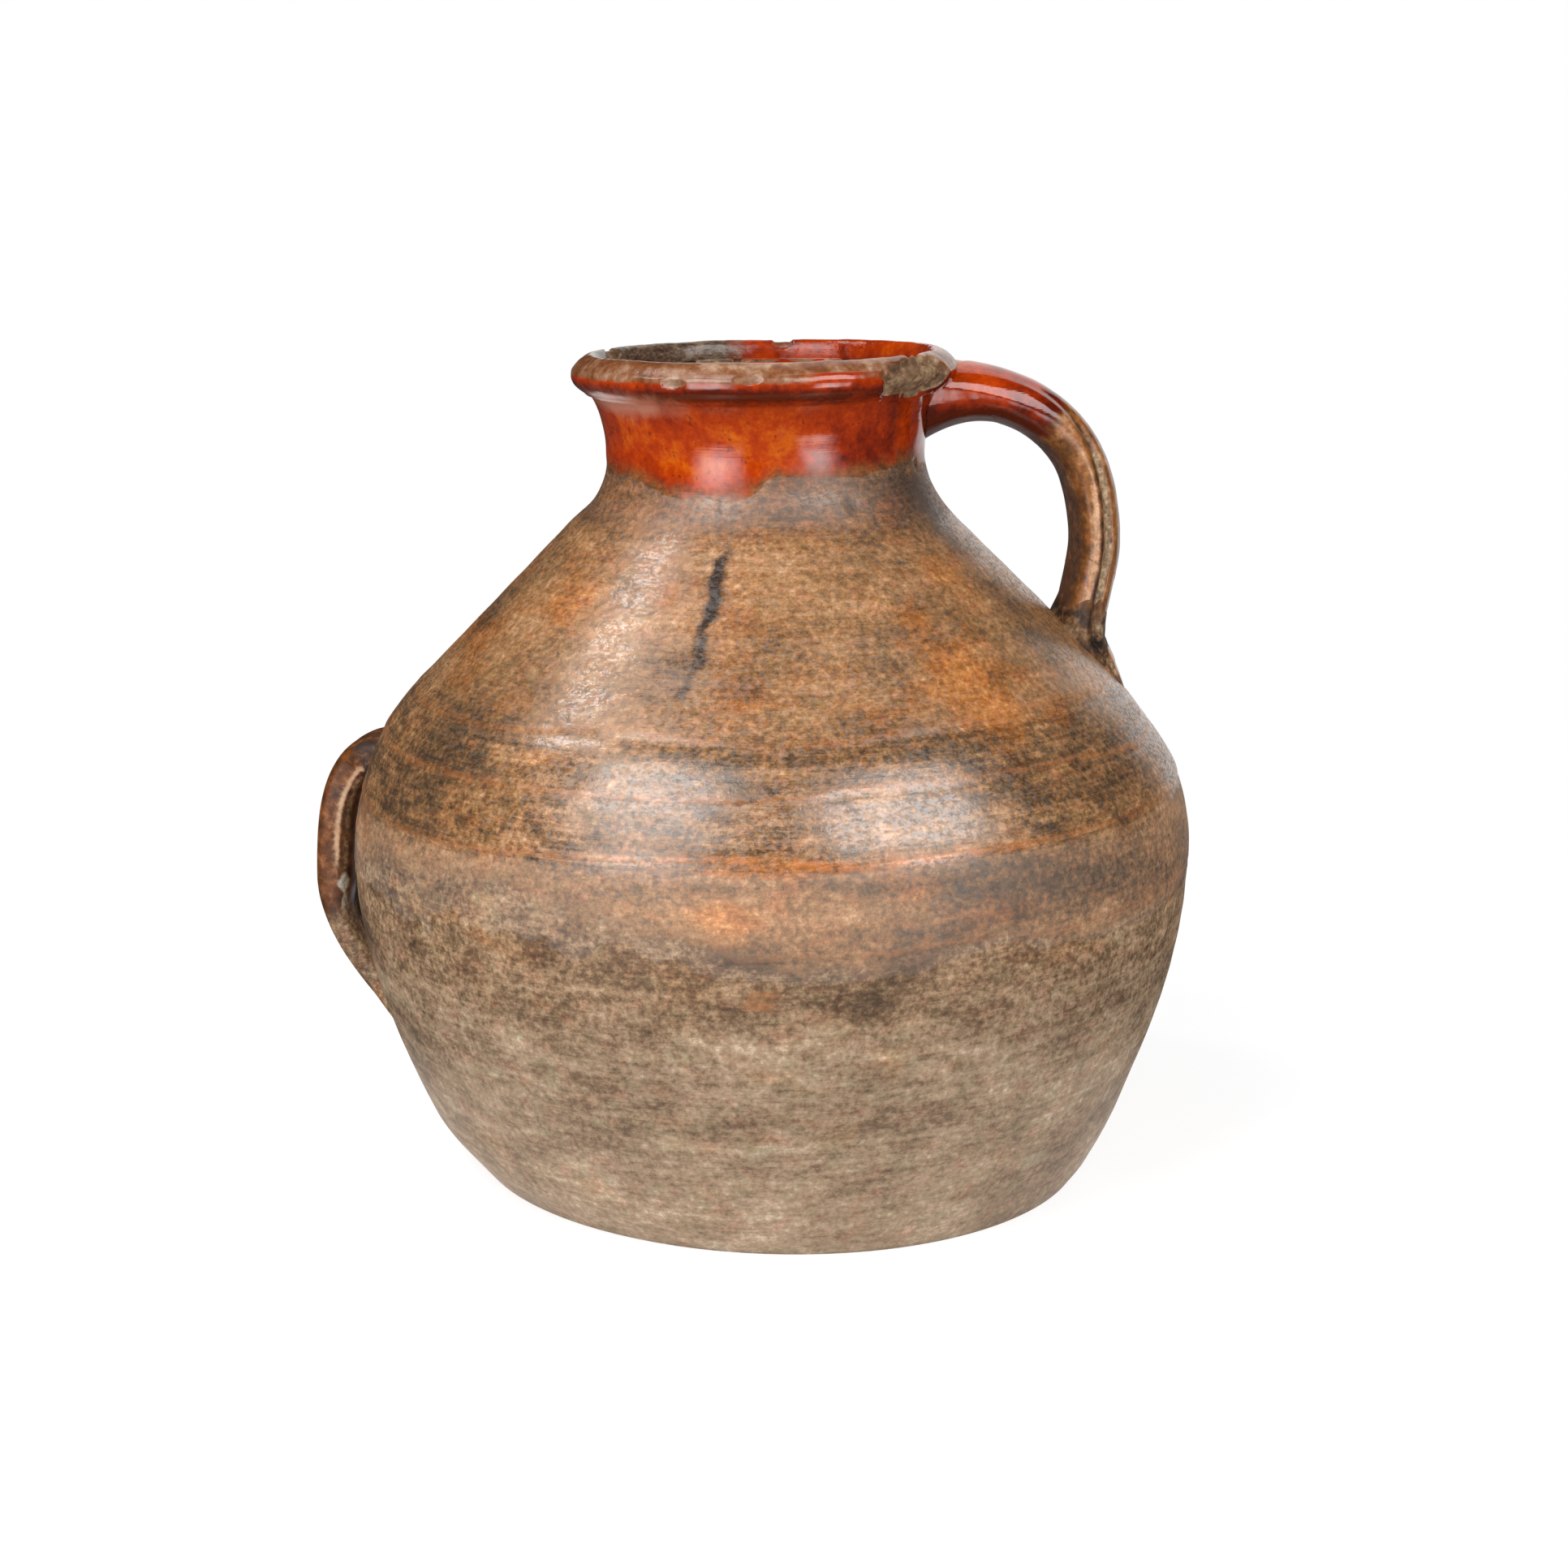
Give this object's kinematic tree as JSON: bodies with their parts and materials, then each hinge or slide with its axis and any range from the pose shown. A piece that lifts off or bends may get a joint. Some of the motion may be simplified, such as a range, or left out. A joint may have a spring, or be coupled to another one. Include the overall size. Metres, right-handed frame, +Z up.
{
  "type": "storage jug",
  "caption": "Round-bellied earthenware storage jug with a short glazed neck, a rolled lip, a strap handle from rim to shoulder and a low tipping handle.",
  "frame": {"origin": "middle of the flat base, on the ground", "axes": "+Z up; +X from the middle of the base towards the strap handle, -X towards the tipping handle; +Y away from the side seen in the picture"},
  "size_m": [0.2853, 0.269, 0.2617],
  "materials": {
    "body_clay": "satin, worn",
    "lining_glaze": "glossy",
    "dark_slip": "satin",
    "red_glaze": "glossy",
    "strap_clay": "satin, worn",
    "joint_clay": "matt"
  },
  "bodies": {
    "root": {"body": "body_clay", "inside_glaze": "lining_glaze", "slip_coat": "dark_slip", "neck_glaze": "red_glaze", "strap_handle": "strap_clay", "handle_glaze": "red_glaze", "handle_root_clay": "joint_clay", "handle_foot_clay": "joint_clay", "tipping_handle": "strap_clay", "tipping_top_clay": "joint_clay", "tipping_foot_clay": "joint_clay"}
  },
  "joints": []
}
